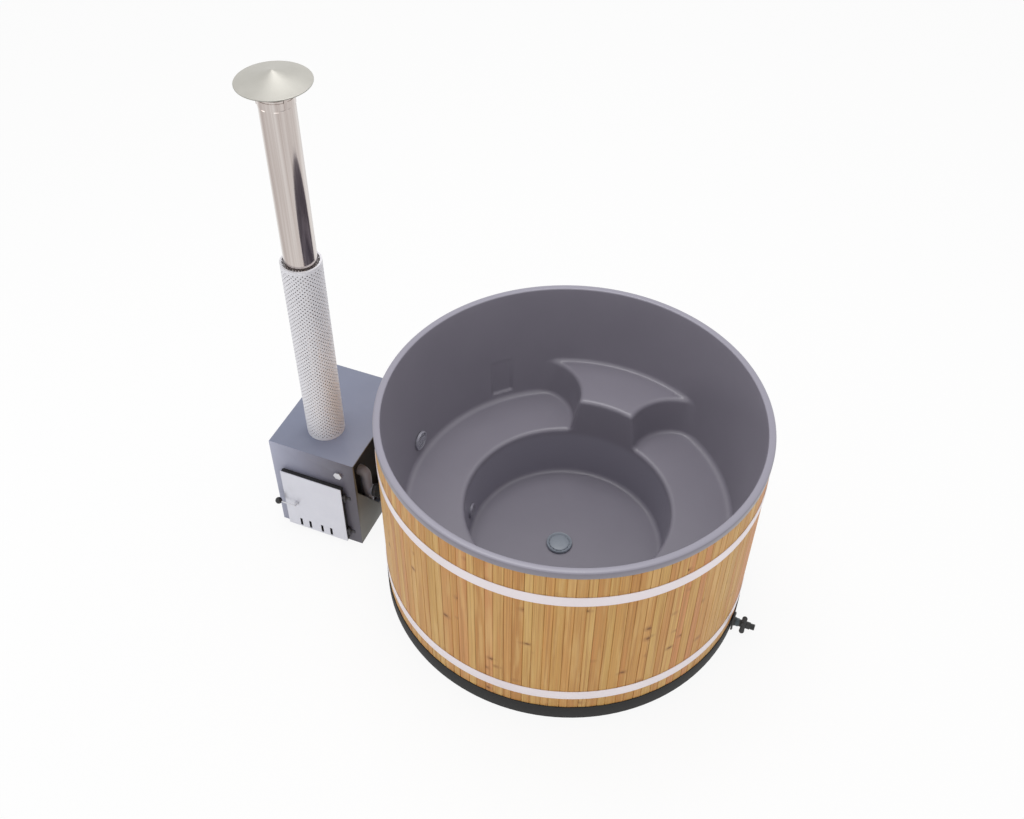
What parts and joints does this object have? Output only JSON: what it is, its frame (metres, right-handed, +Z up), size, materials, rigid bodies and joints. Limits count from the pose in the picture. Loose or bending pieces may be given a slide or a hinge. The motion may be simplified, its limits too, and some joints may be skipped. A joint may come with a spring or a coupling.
{
  "type": "wooden hot tub",
  "caption": "Round wood-clad hot tub with a moulded insert, benches and raised seat, steel hoops, a drain valve and an outside wood-burning stove with chimney.",
  "frame": {"origin": "middle of the tub's plinth on the ground, which is the resting face", "axes": "+Z up, -X from the tub towards the stove, +X towards the drain valve, -Y towards the stove door's side"},
  "size_m": [2.4953, 1.8076, 2.559],
  "materials": {
    "insert_plastic": "satin moulded polyethylene, grey",
    "cladding_wood": "oiled softwood boards with knots",
    "hoop_steel": "pale stainless strip",
    "plinth_black": "matt black",
    "frame_timber": "planed softwood",
    "foam": "closed-cell foam",
    "fitting_grey": "grey moulded fitting",
    "drain_blue_grey": "blue-grey moulded cover",
    "waste_grey": "grey waste pipe",
    "hose_rubber": "black rubber",
    "valve_black": "black moulded valve",
    "bright_hardware": "plated fasteners",
    "casing_paint": "grey powder coat",
    "jacket_steel": "welded stainless",
    "fire_iron": "sooty iron",
    "door_steel": "brushed stainless",
    "door_black": "black heat-proof paint",
    "rope_seal": "graphite rope",
    "ball_black": "glossy black ball",
    "flue_polished": "polished stainless",
    "guard_steel": "perforated stainless",
    "cap_steel": "satin stainless"
  },
  "bodies": {
    "tub_and_stove": {"tub_insert": "insert_plastic", "cladding_boards": "cladding_wood", "upper_hoop": "hoop_steel", "lower_hoop": "hoop_steel", "hoop_bolts": "bright_hardware", "hoop_nuts": "bright_hardware", "base_ring": "plinth_black", "base_joists": "frame_timber", "floor_panel": "frame_timber", "footwell_pad": "foam", "wall_insulation": "foam", "bench_legs": "frame_timber", "seat_legs": "frame_timber", "hot_grille": "fitting_grey", "hot_union": "fitting_grey", "cold_grille": "insert_plastic", "cold_union": "fitting_grey", "union_nuts": "valve_black", "hot_hose": "hose_rubber", "cold_hose": "hose_rubber", "hose_clamps": "bright_hardware", "cold_riser": "jacket_steel", "drain_cover": "drain_blue_grey", "drain_body": "fitting_grey", "waste_pipe": "waste_grey", "wall_flange": "valve_black", "valve_body": "valve_black", "casing_front": "casing_paint", "casing_wrap": "casing_paint", "casing_side": "casing_paint", "casing_top": "casing_paint", "casing_floor": "casing_paint", "water_jacket": "jacket_steel", "jacket_feet": "jacket_steel", "firebox_liner": "fire_iron", "throat_frame": "fire_iron", "grate": "fire_iron", "ash_pan": "fire_iron", "jacket_plug": "bright_hardware", "hinge_brackets": "casing_paint", "hinge_pins": "bright_hardware", "flue_collar": "jacket_steel", "flue_lower": "flue_polished", "flue_sleeve": "jacket_steel", "flue_upper": "flue_polished", "flue_guard": "guard_steel", "guard_spacers": "jacket_steel", "cap_collar": "flue_polished", "rain_cap": "cap_steel"},
    "stove_door": {"door_plate": "door_steel", "door_tray": "door_black", "door_seal": "rope_seal", "door_knuckles": "bright_hardware"},
    "door_latch": {"latch_lever": "bright_hardware", "latch_ball": "ball_black", "latch_tongue": "bright_hardware"},
    "drain_handle": {"valve_ball": "bright_hardware", "valve_handle": "valve_black"}
  },
  "joints": [
    {"name": "stove_door_hinge", "type": "hinge", "parent": "tub_and_stove", "child": "stove_door", "pos_m": [-1.074, -0.31, 0.223], "axis": [0, 0, 1], "range_deg": [0, 110]},
    {"name": "door_latch_turn", "type": "hinge", "parent": "stove_door", "child": "door_latch", "pos_m": [-1.359, -0.325, 0.205], "axis": [0, -1, 0], "range_deg": [0, 90]},
    {"name": "drain_valve_turn", "type": "hinge", "parent": "tub_and_stove", "child": "drain_handle", "pos_m": [0.9593, -0.066, 0.052], "axis": [0, -0.7071, 0.7071], "range_deg": [0, 90]}
  ]
}
